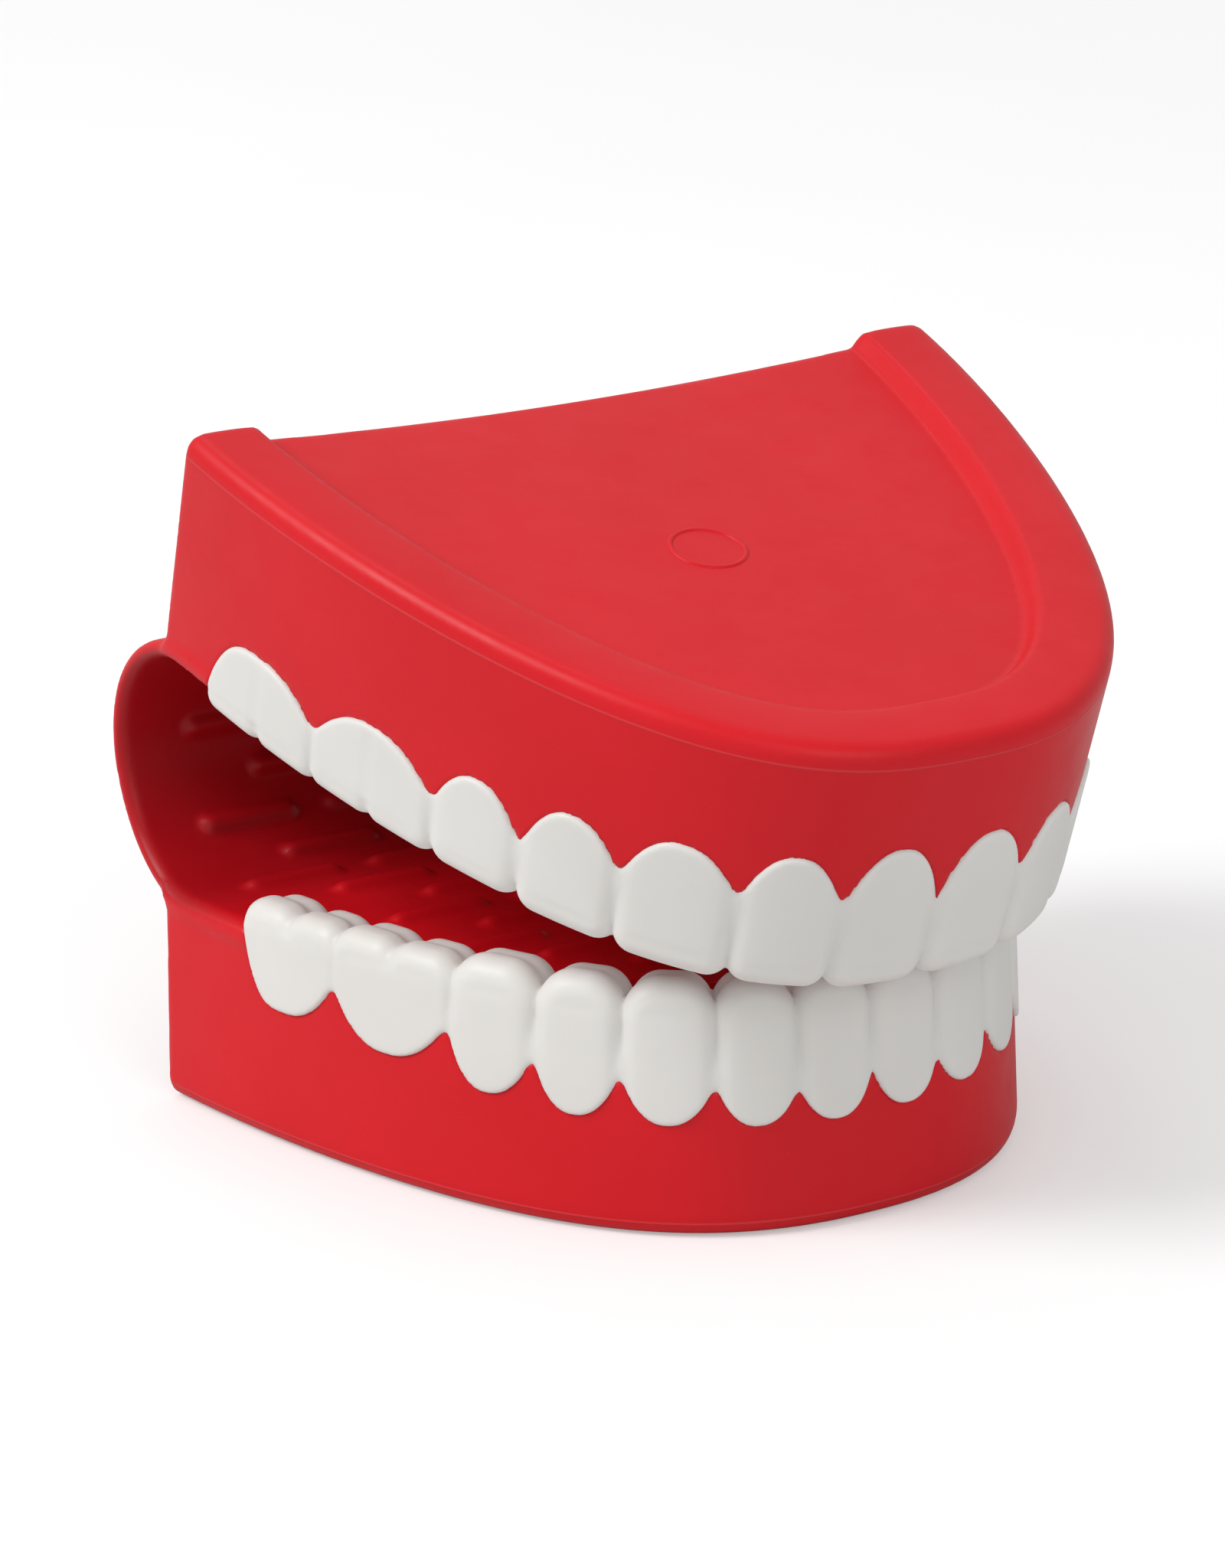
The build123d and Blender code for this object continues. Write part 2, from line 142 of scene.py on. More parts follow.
# ------------------------------------------------------------------
# plan outlines
# ------------------------------------------------------------------
class Plan:
    """U-shaped outline seen from above. Its angle is 0 at the rear and 90 degrees
    at the front centre. Distance outside it and arc length from the front centre
    are looked up in a grid over one half."""
    STEP, Y_MIN, Y_MAX, X_MAX = 0.5, -112.0, 32.0, 66.0
    TAIL, TAIL_LENGTH = 450, 45.0    # points and length of the straight rear end

    def __init__(self, half_width, depth, depth_power, width_power, bulge, skew):
        self.half_width, self.depth = half_width, depth
        self.depth_power, self.width_power = depth_power, width_power
        self.bulge, self.skew = bulge, skew
        self.angles = np.radians(np.linspace(0, 90, 4001))
        x, y = self.point(self.angles)
        self.lengths = np.concatenate([[0], np.cumsum(np.hypot(np.diff(x), np.diff(y)))])
        self.total = self.lengths[-1]
        # evenly spaced points: the straight tail, then the curve up to the front
        even = np.linspace(0, self.total, 1400)
        tail = np.linspace(self.TAIL_LENGTH, 0.1, self.TAIL)
        px = np.concatenate([np.full(self.TAIL, half_width), np.interp(even, self.lengths, x)])
        py = np.concatenate([tail, np.interp(even, self.lengths, y)])
        arc = np.concatenate([self.total + tail, self.total - even])
        tx, ty = np.gradient(px), np.gradient(py)
        size = np.hypot(tx, ty)
        tx, ty = tx / size, ty / size
        tx[:self.TAIL], ty[:self.TAIL] = 0.0, -1.0
        tx[-1], ty[-1] = -1.0, 0.0
        grid_x, grid_y = np.meshgrid(np.arange(0.0, self.X_MAX + self.STEP, self.STEP),
                                     np.arange(self.Y_MIN, self.Y_MAX + self.STEP, self.STEP),
                                     indexing="ij")
        gx, gy = grid_x.ravel(), grid_y.ravel()
        outside, along = np.empty(gx.size), np.empty(gx.size)
        chunk = 4000                 # limits the memory of the nearest-point search
        for i in range(0, gx.size, chunk):
            part = slice(i, i + chunk)
            k = ((gx[part, None] - px) ** 2 + (gy[part, None] - py) ** 2).argmin(1)
            dx, dy = gx[part] - px[k], gy[part] - py[k]
            outside[part] = -(dx * ty[k] - dy * tx[k])
            along[part] = arc[k] - (dx * tx[k] + dy * ty[k])
        self.outside_grid = outside.reshape(grid_x.shape)
        self.arc_grid = along.reshape(grid_x.shape)

    def point(self, angle):
        c, s = np.maximum(np.cos(angle), 0.0), np.maximum(np.sin(angle), 0.0)
        u = s ** (2 / self.depth_power)
        swell = 1 + self.bulge * u * (1 - u) + self.skew * u * (1 - u) * (1 - 2 * u)
        return self.half_width * c ** (2 / self.width_power) * swell, -self.depth * u

    def arc_at(self, degrees):
        return self.total - np.interp(math.radians(degrees), self.angles, self.lengths)

    def width_at(self, y):
        """Half width at y."""
        px, py = self.point(self.angles)
        return float(np.interp(-y, -py, px)) if y < 0 else self.half_width

    def look_up(self, grid, x, y):
        nx, ny = grid.shape
        fx = np.clip(np.abs(x) / self.STEP, 0, nx - 1.001)
        fy = np.clip((y - self.Y_MIN) / self.STEP, 0, ny - 1.001)
        i, j = fx.astype(np.int32), fy.astype(np.int32)
        fx, fy = fx - i, fy - j
        return (grid[i, j] * (1 - fx) * (1 - fy) + grid[i + 1, j] * fx * (1 - fy)
                + grid[i, j + 1] * (1 - fx) * fy + grid[i + 1, j + 1] * fx * fy)

    def outside(self, x, y):
        return self.look_up(self.outside_grid, x, y)

    def arc(self, x, y):
        return self.look_up(self.arc_grid, x, y)


LOW_PLAN = Plan(half_width=50.0, depth=79.1, depth_power=2.097, width_power=2.29,
                bulge=-0.187, skew=0.056)
UP_PLAN = Plan(half_width=51.2, depth=86.9, depth_power=1.565, width_power=2.568,
               bulge=-0.013, skew=0.021)


def low_outside(x, y, z, limit=1):
    """Distance outside the leaning lower wall."""
    return LOW_PLAN.outside(x, y) + LEAN * np.clip(z / FLOOR, 0, limit)


def up_outside(x, yj, zj, limit=1):
    """Distance outside the leaning upper wall."""
    return UP_PLAN.outside(x, yj) + LEAN * np.clip(-zj / UP_HEIGHT, 0, limit)


def low_skin(x, y, z):
    """Arc length, distance outside and height towards the tips."""
    return LOW_PLAN.arc(x, y), low_outside(x, y, z, 1.2), z


def up_skin(x, yj, zj):
    return UP_PLAN.arc(x, yj), up_outside(x, yj, zj, 1.1), -zj


# ------------------------------------------------------------------
# teeth: seven a side, numbered from the rear; heights grow towards the tips
# ------------------------------------------------------------------
def teeth_of(plan, gaps, gap_heights, cups):
    """Per tooth: arc at its front and rear edge, gum height at both, cup height."""
    arcs = [plan.arc_at(gap) for gap in gaps]
    return [(arcs[k + 1], arcs[k], gap_heights[k + 1], gap_heights[k], cups[k])
            for k in range(len(cups))]


# gaps: plan angles between teeth; gap_heights: gum points there; cups: gum line
# at the middle of each tooth
LOW_ROW = SimpleNamespace(
    teeth=teeth_of(LOW_PLAN,
                   gaps=[11.0, 22.7, 36.8, 47.5, 58.4, 70.5, 81.2, 90.0],
                   gap_heights=[26.5, 22.0, 21.1, 19.5, 18.9, 18.1, 17.2, 17.5],
                   cups=[16.6, 15.9, 14.5, 13.8, 13.5, 13.3, 13.0]),
    tips=[28.9, 29.2, 30.0, 30.1, 30.2, 30.2, 30.2],
    wall_height=26.5,      # top of the white wall between the teeth
    front_round=4.9,       # top corner radii: outer lobes of the front teeth,
    inner_round=4.4,       # lobes on the mouth side,
    molar_round=3.9,       # outer lobes of the molars
    molar_overlap=1.15,
    valley=1.0,            # depth of the grooves between teeth
    inner_drop=0.5,        # how much lower the mouth side is
    point_round=1.5)       # rounding of the gum points
UP_ROW = SimpleNamespace(
    teeth=teeth_of(UP_PLAN,
                   gaps=[9.6, 24.4, 37.8, 46.9, 57.0, 69.4, 80.9, 90.0],
                   gap_heights=[26.6, 22.0, 21.1, 21.1, 19.3, 18.1, 18.1, 18.1],
                   cups=[17.3, 16.1, 15.2, 14.0, 12.6, 11.4, 10.5]),
    tips=[28.9, 28.7, 28.8, 29.2, 29.4, 29.2, 29.4],
    wall_height=26.2, front_round=3.0, inner_round=2.8, molar_round=2.5,
    molar_overlap=0.7, valley=0.5, inner_drop=0.4, point_round=2.2)

MOLARS = 2                 # rearmost teeth, each split into two lobes along the row
PROUD = 0.42               # teeth beyond the red skin
PROUD_GAP = 0.10           # the same between teeth
PLUG = 1.5                 # depth of the white row in the wall
OUTER_HALF = 2.6           # half thickness of the outer lobes
MOLAR = SimpleNamespace(outer_edge=2.3, inner_depth=5.3, inner_half=2.4, inner_edge=2.2)
FRONT = SimpleNamespace(outer_edge=2.55, inner_depth=5.1, inner_half=2.5, inner_edge=2.3)
LOW_CROWN_BASE = 23.9      # foot of the lower inner lobes
UP_CROWN_SINK = 0.6        # the upper ones reach this far into the palate


def lobe(u, half_u, v, half_v, w, corner, edge, foot=-40.0):
    """Block with rounded top corners and edges; w is the height above the tip and
    foot the height of its lower end (the default lies below everything)."""
    qx, qy = np.abs(u) - (half_u - corner), w + corner
    side = (np.hypot(np.maximum(qx, 0), np.maximum(qy, 0))
            + np.minimum(np.maximum(qx, qy), 0) - corner)
    wx, wy = side + edge, np.abs(v) - half_v + edge
    d = (np.minimum(np.maximum(wx, wy), 0)
         + np.hypot(np.maximum(wx, 0), np.maximum(wy, 0)) - edge)
    return np.maximum(d, foot - w)


def gum_distance(arc, height, row):
    """Distance to the gum line, negative on the white side. The line is a chain of
    round cups with rounded points between them."""
    d = None
    for k, (front, rear, front_gum, rear_gum, cup) in enumerate(row.teeth):
        width = rear - front
        u = (arc - 0.5 * (front + rear)) / (width / 2)
        reach = np.minimum(np.abs(u), 1.9)
        power = np.where(u > 0, 3.4 if k == 0 else 2.3, 2.3)
        rise = np.where(u > 0, rear_gum, front_gum) - cup
        line = cup + rise * reach ** power
        slope = rise * power * reach ** (power - 1) / (width / 2)
        d = join(d, (line - height) / np.sqrt(1 + slope * slope), row.point_round)
    return d


def crowns(arc, out, height, row, base):
    """White row: lobes for the crowns and a thin wall between them."""
    gum = gum_distance(arc, height, row)
    inner_side = -(out + PLUG)
    foot = np.minimum(inner_side, base - height)
    solid = None
    for k, (front, rear, *_) in enumerate(row.teeth):
        width, tip = rear - front, row.tips[k]
        u, w = arc - 0.5 * (front + rear), height - tip
        if k < MOLARS:
            q = width / 4
            kind, outer_round, centres = MOLAR, row.molar_round, (-q, q)
            half, round_limit = q + row.molar_overlap, q + 0.4
        else:
            kind, outer_round, centres = FRONT, row.front_round, (0.0,)
            half, round_limit = width / 2 + 0.40, width / 2 + 0.2
        outer = inner = None
        for centre in centres:
            outer = join(outer, lobe(u - centre, half, out + (OUTER_HALF - PROUD), OUTER_HALF,
                                     w, min(outer_round, round_limit), kind.outer_edge), 0.9)
            inner = join(inner, lobe(u - centre, half, out + kind.inner_depth, kind.inner_half,
                                     w + row.inner_drop, min(row.inner_round, round_limit),
                                     kind.inner_edge, base - tip), 0.9)
        outer = np.maximum(smooth_max(outer, gum, 0.6), foot)
        solid = join(solid, smooth_min(outer, inner, 0.7), 0.4)
    # distance along the row to the nearest gap, and the gum height there
    near = np.full(arc.shape, 99.0)
    gap_gum = np.full(arc.shape, 0.0)
    for front, _, front_gum, *_ in row.teeth:
        closer = np.abs(arc - front) < near
        near = np.where(closer, np.abs(arc - front), near)
        gap_gum = np.where(closer, front_gum, gap_gum)
    face = (PROUD - PROUD_GAP) * (1 - np.exp(-(near / 1.9) ** 2)) + PROUD_GAP
    groove = row.valley * ease((height - gap_gum - 0.3) / 6.5) * np.exp(-(near / 1.25) ** 2)
    wall = smooth_max(out - face + groove, gum, 0.6)
    wall = np.maximum(wall, inner_side)
    wall = smooth_max(wall, height - row.wall_height, 1.2)
    wall = smooth_max(wall, arc - row.teeth[0][1] - 0.15, 1.0)
    return smooth_min(solid, wall, 0.35)


def wall_recess(arc, out, height, row):
    """Part of the red wall taken by the white row, slightly smaller than the row."""
    d = np.maximum(gum_distance(arc, height, row) + 0.18, -(out + PLUG - 0.15))
    return np.maximum(d, arc - row.teeth[0][1] + 0.2)


def white_low(x, y, z):
    return crowns(*low_skin(x, y, z), LOW_ROW, LOW_CROWN_BASE)


def white_up(x, yj, zj):
    return crowns(*up_skin(x, yj, zj), UP_ROW, -(palate_z(yj) + UP_CROWN_SINK))


# ------------------------------------------------------------------
# red body
# ------------------------------------------------------------------
RIB_PITCH, RIB_STEP = 6.6, 17.0      # between rows, and along a row
RIB_HALF, RIB_R, RIB_SINK = 5.2, 1.35, 0.35
FIRST_ROW, LAST_ROW = -12, 25
ROLL_END = ARC_R * (math.pi + math.radians(PALATE_TILT))   # mid-line length there
TOOTH_SINK = 0.25                    # overlap of the crowns with the red


def web_coords(y, z):
    """Signed distance to the C-shaped mid line, negative on the mouth side, and
    the length along it from the lower end of the arc."""
    yp, zp = to_palate(y, z)
    on_arc = np.where(z < ARC_Z, y >= ARC_Y, yp >= 0)
    below_floor = (ARC_Z - ARC_R) - z
    above_palate = zp - ARC_R
    dist = np.where(on_arc, np.hypot(y - ARC_Y, z - ARC_Z) - ARC_R,
                    np.maximum(below_floor, above_palate))
    angle = np.arctan2(z - ARC_Z, y - ARC_Y)
    angle = np.where(angle < -math.pi / 2 - 0.01, angle + 2 * math.pi, angle)
    flat = np.where(below_floor > above_palate, y - ARC_Y, ROLL_END - yp)
    return dist, np.where(on_arc, ARC_R * (angle + math.pi / 2), flat)


def rib_row_widths():
    """Half width for ribs in each row; -1 leaves the row empty."""
    widths = []
    for k in range(FIRST_ROW, LAST_ROW + 1):
        t = k * RIB_PITCH
        if t < 0:
            y = ARC_Y + t
            width = LOW_PLAN.width_at(y) - 10.5 if y > -66 else -1.0
        elif t < ROLL_END:
            width = 42.0
        else:
            yj = ARC_YJ - (t - ROLL_END) * math.cos(PALATE_IN_JAW)
            width = UP_PLAN.width_at(yj) - 11.5 if yj > -72 else -1.0
        widths.append(width)
    return np.array(widths)


RIB_ROW_WIDTHS = rib_row_widths()


def ribs(x, dist, t):
    """Short round-ended ribs on the mouth side, staggered from row to row."""
    row = np.clip(np.round(t / RIB_PITCH), FIRST_ROW, LAST_ROW)
    offset = np.where(np.mod(row, 2) == 0, 0.0, RIB_STEP / 2)
    centre = np.round((x - offset) / RIB_STEP) * RIB_STEP + offset
    width = RIB_ROW_WIDTHS[(row - FIRST_ROW).astype(np.int32)]
    dx = np.maximum(np.abs(x - centre) - RIB_HALF, 0)
    dt = t - row * RIB_PITCH
    dh = -(dist + WEB) + RIB_SINK
    d = np.sqrt(dx * dx + dt * dt + dh * dh) - RIB_R
    return np.where(np.abs(centre) + 6 < width, d, 3.0)


def plate_sag(x, yj):
    """Hollow of the top plate, fading out to the front."""
    return 1.5 * (1 - np.clip(x / 41.0, -1, 1) ** 2) * np.exp(np.minimum(yj, 0) / 26.0)


def lower_body(y, z, out, dist):
    """Lower walls and ground plate, open to the rear."""
    shell = smooth_max(out, -z, 2.6)
    hollow = smooth_max(out + WALL, BASE_T - z, 2.0)
    body = smooth_max(shell, -hollow, 0.4)
    rear = y + 1.6 * (1 - np.clip(z / FLOOR, 0, 1))
    body = smooth_max(body, rear, 1.1)
    return np.maximum(body, np.where(z < ARC_Z, -dist, 9.0))


def upper_body(x, z, yj, zj, out, dist):
    """Upper walls, sagging plate and raised rim, open to the rear."""
    sag = plate_sag(x, yj)
    inward = -out
    rim = 1 - ease((inward - 8.6) / 2.0)
    top = PLATE_TOP - sag * (1 - rim) + (RIM_TOP - PLATE_TOP) * rim
    top = top - 0.18 * rim * ((inward - 4.5) / 4.5) ** 2      # crown of the rim
    ceiling = ((PLATE_TOP - PLATE_T) - sag * (1 - rim)
               + 2.3 * (1 - ease((inward - 7.4) / 1.6)))
    shell = smooth_max(out, (zj - top) * 0.92, 2.2)
    hollow = smooth_max(out + WALL, zj - ceiling, 1.6)
    body = smooth_max(shell, -hollow, 0.4)
    rear = yj - 1.5 * np.clip(-zj / UP_HEIGHT, 0, 1)
    body = smooth_max(body, rear, 1.3)
    return np.maximum(body, np.where(z > ARC_Z - 8, -dist, 9.0))


def web_body(x, y, z, low_out, up_out, dist, t):
    """Floor, roll and palate with their ribs; sides pass from one plan to the other."""
    palate = np.where(y < ARC_Y,
                      ARC_Z + ARC_R / PAL_COS + (y - ARC_Y) * PAL_SIN / PAL_COS, 56.0)
    share = ease((z - FLOOR) / (palate - FLOOR))
    side = low_out * (1 - share) + up_out * share
    web = smooth_max(side, -(dist + WEB), 1.9)
    # the far side gets rounded edges only towards the rear
    rounded = smooth_max(web, dist - WEB, 1.5)
    rearward = ease((y + 12.0) / 8.0)
    web = np.maximum(web, dist - WEB) * (1 - rearward) + rounded * rearward
    return smooth_min(web, ribs(x, dist, t), 0.9)


def subtract_row(taken, mask, white, skin, row, x, y, z):
    """Adds one white row to the taken space, where mask is set."""
    if mask.any():
        point = x[mask], y[mask], z[mask]
        zone = np.minimum(white(*point) + TOOTH_SINK, wall_recess(*skin(*point), row))
        taken[mask] = np.minimum(taken[mask], zone)


def red(x, y, z):
    yj, zj = to_jaw(y, z)
    low_out, up_out = low_outside(x, y, z), up_outside(x, yj, zj)
    dist, t = web_coords(y, z)
    d = smooth_min(lower_body(y, z, low_out, dist),
                   web_body(x, y, z, low_out, up_out, dist, t), 1.2)
    d = smooth_min(d, upper_body(x, z, yj, zj, up_out, dist), 1.2)
    near = np.abs(d) < 2.0
    taken = np.full_like(d, 9.0)
    subtract_row(taken, near & (z < 34.0) & (y < -8.0),
                 white_low, low_skin, LOW_ROW, x, y, z)
    subtract_row(taken, near & (zj > -30.0) & (zj < -8.0) & (yj < -3.0),
                 white_up, up_skin, UP_ROW, x, yj, zj)
    return np.maximum(d, -taken)


# ------------------------------------------------------------------
# meshing
# ------------------------------------------------------------------
CORNERS = [(a, b, c) for a in (0, 1) for b in (0, 1) for c in (0, 1)]


def sample(field, axes):
    """Field values on the grid, in slabs to limit memory."""
    nx, ny, nz = map(len, axes)
    values = np.empty((nx, ny, nz), np.float32)
    slab = max(1, int(400000 / (ny * nz)))
    for i in range(0, nx, slab):
        X, Y, Z = np.meshgrid(axes[0][i:i + slab], axes[1], axes[2], indexing="ij")
        values[i:i + slab] = field(X.ravel(), Y.ravel(), Z.ravel()).reshape(X.shape)
    return values


def mean_crossings(values, cells):
    """Mean of the edge crossings in each active cell, in cell units."""
    I, J, K = cells
    corner = {(a, b, c): values[I + a, J + b, K + c].astype(np.float64) for a, b, c in CORNERS}
    total, count = np.zeros((len(I), 3)), np.zeros(len(I))
    for axis in range(3):
        u, v = [k for k in range(3) if k != axis]
        for p in (0, 1):
            for q in (0, 1):
                start = [0, 0, 0]
                start[u], start[v] = p, q
                end = list(start)
                end[axis] = 1
                fa, fb = corner[tuple(start)], corner[tuple(end)]
                crossed = (fa < 0) != (fb < 0)
                P = np.zeros((len(I), 3))
                P[:, u], P[:, v] = p, q
                P[:, axis] = np.where(crossed, fa / np.where(crossed, fa - fb, 1.0), 0.0)
                total += P * crossed[:, None]
                count += crossed
    return total / count[:, None] + np.stack([I, J, K], 1)


def pull_to_surface(field, start, cell):
    """Three limited Newton steps along the field's gradient."""
    e = 0.02
    verts = start.copy()
    for _ in range(3):
        x, y, z = verts[:, 0], verts[:, 1], verts[:, 2]
        value = field(x, y, z)
        grad = np.stack([field(x + e, y, z) - field(x - e, y, z),
                         field(x, y + e, z) - field(x, y - e, z),
                         field(x, y, z + e) - field(x, y, z - e)], 1) / (2 * e)
        square = np.maximum((grad ** 2).sum(1), 0.25)
        move = np.clip(-(value / square)[:, None] * grad, -0.35 * cell, 0.35 * cell)
        verts = verts + move
        verts = start + np.clip(verts - start, -0.7 * cell, 0.7 * cell)
    return verts


def surface_nets(field, low, high, cell):
    """Vertices and quads of the zero surface inside a box."""
    axes = [np.arange(low[i], high[i] + cell, cell) for i in range(3)]
    values = sample(field, axes)
    nx, ny, nz = values.shape
    neg = values < 0
    count = np.zeros((nx - 1, ny - 1, nz - 1), np.int8)
    for a, b, c in CORNERS:
        count += neg[a:nx - 1 + a, b:ny - 1 + b, c:nz - 1 + c]
    cells = np.nonzero((count > 0) & (count < 8))
    index = np.full(count.shape, -1, np.int32)
    index[cells] = np.arange(len(cells[0]))
    start = mean_crossings(values, cells) * cell + np.array([ax[0] for ax in axes])
    verts = pull_to_surface(field, start, cell)
    # one quad round every grid edge that crosses the surface
    faces = []
    for axis in range(3):
        first, second = [slice(None)] * 3, [slice(None)] * 3
        first[axis], second[axis] = slice(0, -1), slice(1, None)
        inside = neg[tuple(first)]
        edges = np.stack(np.nonzero(inside != neg[tuple(second)]), 1)
        u, v = [k for k in range(3) if k != axis]
        edges = edges[(edges[:, u] > 0) & (edges[:, v] > 0)
                      & (edges[:, u] < values.shape[u] - 1)
                      & (edges[:, v] < values.shape[v] - 1)]
        flip = inside[tuple(edges.T)]
        ring = []
        for du, dv in ((-1, -1), (0, -1), (0, 0), (-1, 0)):
            around = edges.copy()
            around[:, u] += du
            around[:, v] += dv
            ring.append(index[tuple(around.T)])
        quads = np.stack(ring, 1)
        if axis == 1:                # x and z run the other way round about y
            flip = ~flip
        quads[~flip] = quads[~flip][:, ::-1]
        faces.append(quads)
    quads = np.concatenate(faces)
    return verts, quads[(quads >= 0).all(1)]


def make_mesh(name, verts, quads):
    mesh = bpy.data.meshes.new(name)
    mesh.vertices.add(len(verts))
    mesh.vertices.foreach_set("co", verts.astype(np.float32).ravel())
    mesh.loops.add(quads.size)
    mesh.loops.foreach_set("vertex_index", quads.astype(np.int32).ravel())
    mesh.polygons.add(len(quads))
    mesh.polygons.foreach_set("loop_start",
                              np.arange(0, quads.size, quads.shape[1], dtype=np.int32))
    mesh.polygons.foreach_set("loop_total", np.full(len(quads), quads.shape[1], np.int32))
    mesh.update(calc_edges=True)
    mesh.validate()
    mesh.polygons.foreach_set("use_smooth", np.ones(len(mesh.polygons), bool))
    return mesh


def to_world(verts):
    """Working frame to the shared frame, in metres."""
    moved = verts.copy()
    moved[:, 1] += SHIFT_Y
    moved[:, 2] += SHIFT_Z
    return moved * MM


def add_object(name, data, material=None):
    ob = bpy.data.objects.new(name, data)
    bpy.context.scene.collection.objects.link(ob)
    if material:
        data.materials.append(material)
    return ob


def add_attribute(mesh, name, values):
    attribute = mesh.attributes.new(name, "FLOAT", "POINT")
    attribute.data.foreach_set("value", values.astype(np.float32))


# ------------------------------------------------------------------
# materials
# ------------------------------------------------------------------
def set_inputs(tree, node, inputs):
    """Sets input values; an output socket given as a value is linked instead."""
    for key, value in inputs.items():
        if isinstance(value, bpy.types.NodeSocket):
            tree.links.new(value, node.inputs[key])
        else:
            node.inputs[key].default_value = value


def add_node(tree, kind, inputs, **settings):
    node = tree.nodes.new("ShaderNode" + kind)
    for key, value in settings.items():
        setattr(node, key, value)
    set_inputs(tree, node, inputs)
    return node


def base_material(name):
    material = bpy.data.materials.new(name)
    material.use_nodes = True
    tree = material.node_tree
    tree.nodes.clear()
    output = add_node(tree, "OutputMaterial", {})
    shader = add_node(tree, "BsdfPrincipled", {})
    tree.links.new(shader.outputs[0], output.inputs[0])
    coords = add_node(tree, "TexCoord", {}).outputs["Object"]
    return material, shader, coords


def noise(tree, coords, scale, detail=4.0, roughness=0.55):
    return add_node(tree, "TexNoise", {"Scale": scale, "Detail": detail,
                                       "Roughness": roughness, "Vector": coords}).outputs["Fac"]


def ramp(tree, source, first, last, start=0.35, end=0.65):
    node = add_node(tree, "ValToRGB", {0: source})
    stops = node.color_ramp.elements
    stops[0].position, stops[1].position = start, end
    stops[0].color, stops[1].color = first, last
    return node.outputs["Color"]


def multiply(tree, source, factor):
    return add_node(tree, "Math", {0: source, 1: factor}, operation="MULTIPLY").outputs[0]


def mix(tree, factor, a, b):
    return add_node(tree, "Mix", {"Factor": factor, "A": a, "B": b},
                    data_type="RGBA").outputs["Result"]


def bump(tree, strength, distance, **links):
    return add_node(tree, "Bump", {"Strength": strength, "Distance": distance,
                                   **links}).outputs["Normal"]


def silicone(name, dark, light, fleck, roughness, sheen, scatter, scatter_radius):
    """Clouded colour with fine flecks and a faintly uneven surface."""
    material, shader, coords = base_material(name)
    tree = material.node_tree
    clouds = noise(tree, coords, scale=28.0, detail=3.0)
    colour = ramp(tree, clouds, dark, light)
    grain = noise(tree, coords, scale=2600.0, detail=2.0, roughness=0.6)
    flecks = ramp(tree, grain, (0, 0, 0, 1), (1, 1, 1, 1), start=0.70, end=0.78)
    colour = mix(tree, multiply(tree, flecks, 0.22), colour, fleck)
    uneven = noise(tree, coords, scale=160.0, detail=5.0)
    rough = add_node(tree, "MapRange", {
        "From Min": 0.3, "From Max": 0.7,
        "To Min": roughness - 0.05, "To Max": roughness + 0.05, "Value": uneven})
    normal = bump(tree, strength=0.10, distance=0.0003, Height=uneven)
    normal = bump(tree, strength=0.06, distance=0.00008, Height=grain, Normal=normal)
    set_inputs(tree, shader, {
        "Base Color": colour,
        "Roughness": rough.outputs["Result"],
        "Sheen Weight": sheen,
        "Sheen Roughness": 0.5,
        "Specular IOR Level": 0.24,
        "Subsurface Weight": scatter,
        "Subsurface Radius": scatter_radius,
        "Subsurface Scale": 0.003,
        "Normal": normal})
    return material, shader


def source_of(shader, name):
    return shader.inputs[name].links[0].from_socket


def add_seam_and_painted_highlight(tree, shader):
    """Fine raised parting line where the seam attribute (mm) passes zero: a bump raises the
    line, and the lighter red along it is a painted highlight.
    """
    seam = add_node(tree, "Attribute", {}, attribute_name="seam").outputs["Fac"]
    away = add_node(tree, "Math", {0: seam}, operation="ABSOLUTE").outputs[0]
    line = add_node(tree, "MapRange",
                    {"From Min": 0.0, "From Max": 0.24, "To Min": 1.0, "To Max": 0.0,
                     "Value": away}, interpolation_type="SMOOTHSTEP").outputs["Result"]
    set_inputs(tree, shader, {
        # painted highlight: lighter red along the parting line, as if the raised bead caught
        # the light
        "Base Color": mix(tree, multiply(tree, line, 0.35),
                          source_of(shader, "Base Color"), (0.72, 0.08, 0.09, 1)),
        "Normal": bump(tree, strength=0.6, distance=0.00014, Height=line,
                       Normal=source_of(shader, "Normal"))})


def add_painted_roll_shade(tree, shader, shade_colour):
    """Painted shade: darker base colour on the mouth side of the roll, where its inside lies in
    shade.
    """
    inner = add_node(tree, "Attribute", {}, attribute_name="inner").outputs["Fac"]
    set_inputs(tree, shader, {
        "Base Color": mix(tree, inner, source_of(shader, "Base Color"), shade_colour)})


def red_silicone():
    material, shader = silicone(
        "silicone_red", dark=(0.57, 0.0045, 0.0105, 1), light=(0.61, 0.006, 0.013, 1),
        fleck=(0.70, 0.11, 0.11, 1), roughness=0.42, sheen=0.0,
        scatter=0.04, scatter_radius=(1.0, 0.12, 0.10))
    # parting line: raised by a bump, with a painted highlight in lighter red along it
    add_seam_and_painted_highlight(material.node_tree, shader)
    # painted shade: darker red on the mouth side of the roll, standing in for its shading
    add_painted_roll_shade(material.node_tree, shader, shade_colour=(0.37, 0.0035, 0.008, 1))
    return material


def white_silicone():
    material, shader = silicone(
        "silicone_white", dark=(0.605, 0.595, 0.567, 1), light=(0.64, 0.63, 0.605, 1),
        fleck=(0.58, 0.565, 0.54, 1), roughness=0.40, sheen=0.03,
        scatter=0.35, scatter_radius=(1.0, 0.85, 0.75))
    # painted light: a faint emission makes the teeth glow a little brighter than the lamps
    # light them
    set_inputs(material.node_tree, shader, {"Emission Color": (1.0, 0.985, 0.95, 1),
                                            "Emission Strength": 0.065})
    return material


